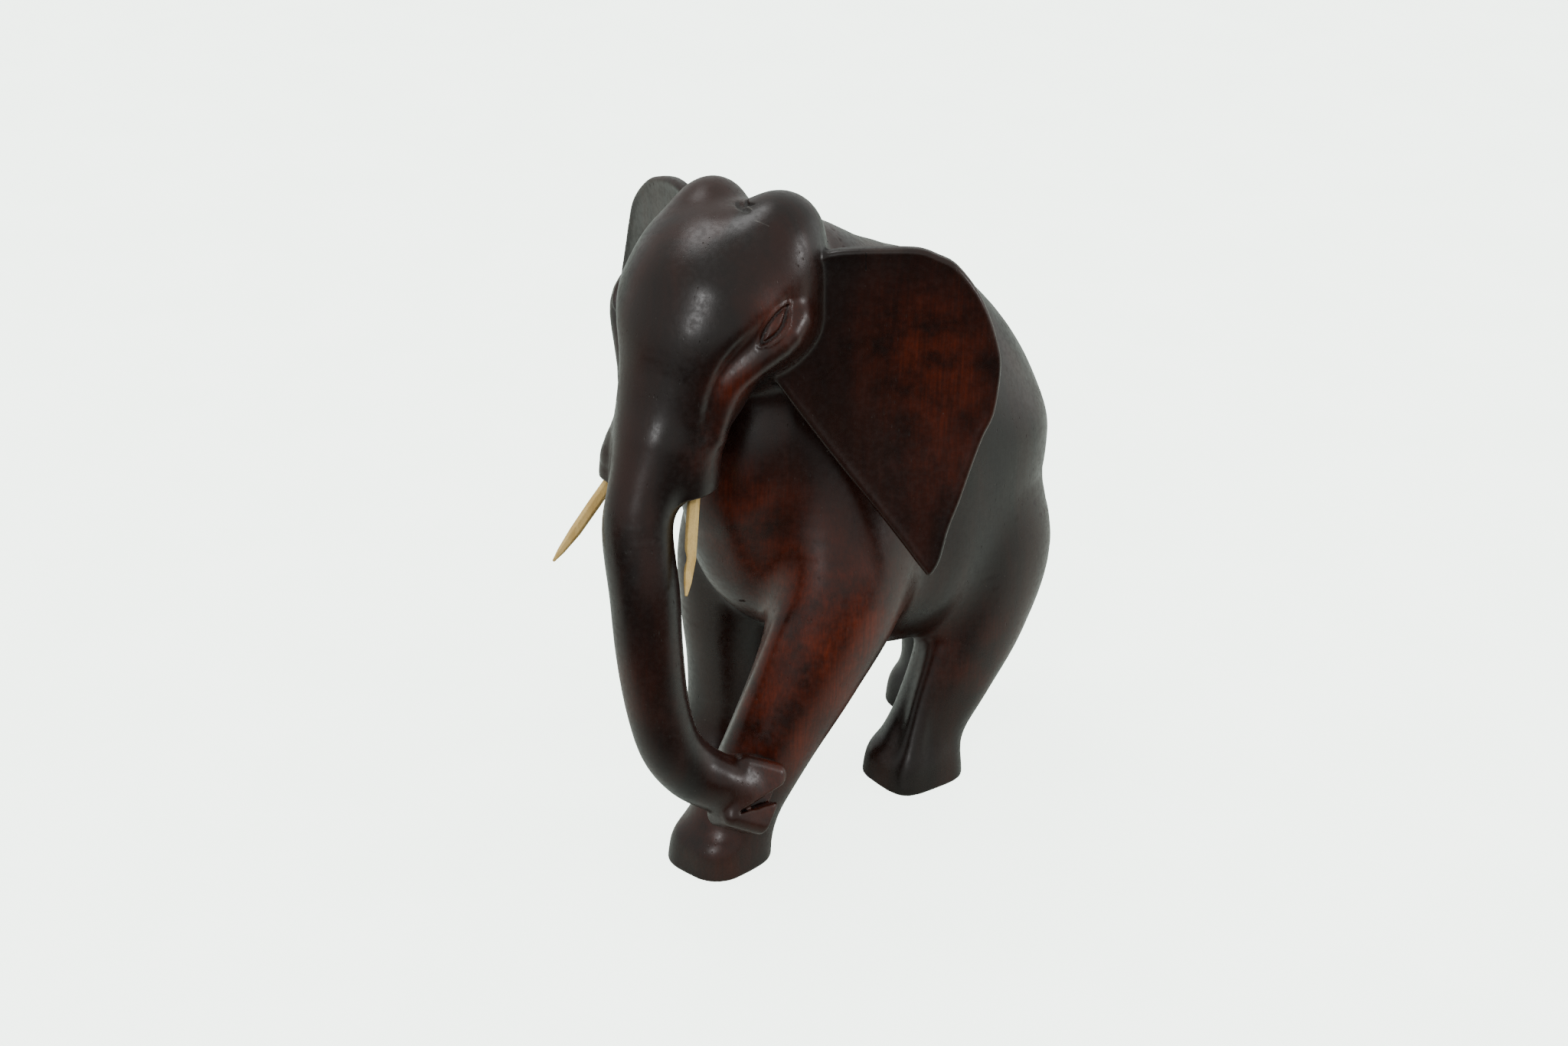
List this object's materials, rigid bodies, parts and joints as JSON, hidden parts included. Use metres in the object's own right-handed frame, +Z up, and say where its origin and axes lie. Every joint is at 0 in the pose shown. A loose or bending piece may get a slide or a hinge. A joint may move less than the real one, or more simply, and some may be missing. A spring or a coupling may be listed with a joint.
{
  "type": "carved wooden elephant sculpture",
  "caption": "Dark red-brown carved wooden elephant, head turned, trunk hanging in front of a fore leg, spread ears and pale stick tusks.",
  "frame": {"origin": "bottom centre of the bounding box, on the surface the feet stand on", "axes": "+Z up, body facing -Y with the elephant's left side at +X; the head is turned to its left"},
  "size_m": [0.1914, 0.2786, 0.3097],
  "materials": {
    "dark_wood": "satin waxed",
    "pale_wood": "raw whittled"
  },
  "bodies": {
    "root": {"carved_elephant": "dark_wood", "left_tusk": "pale_wood", "right_tusk": "pale_wood"}
  },
  "joints": []
}
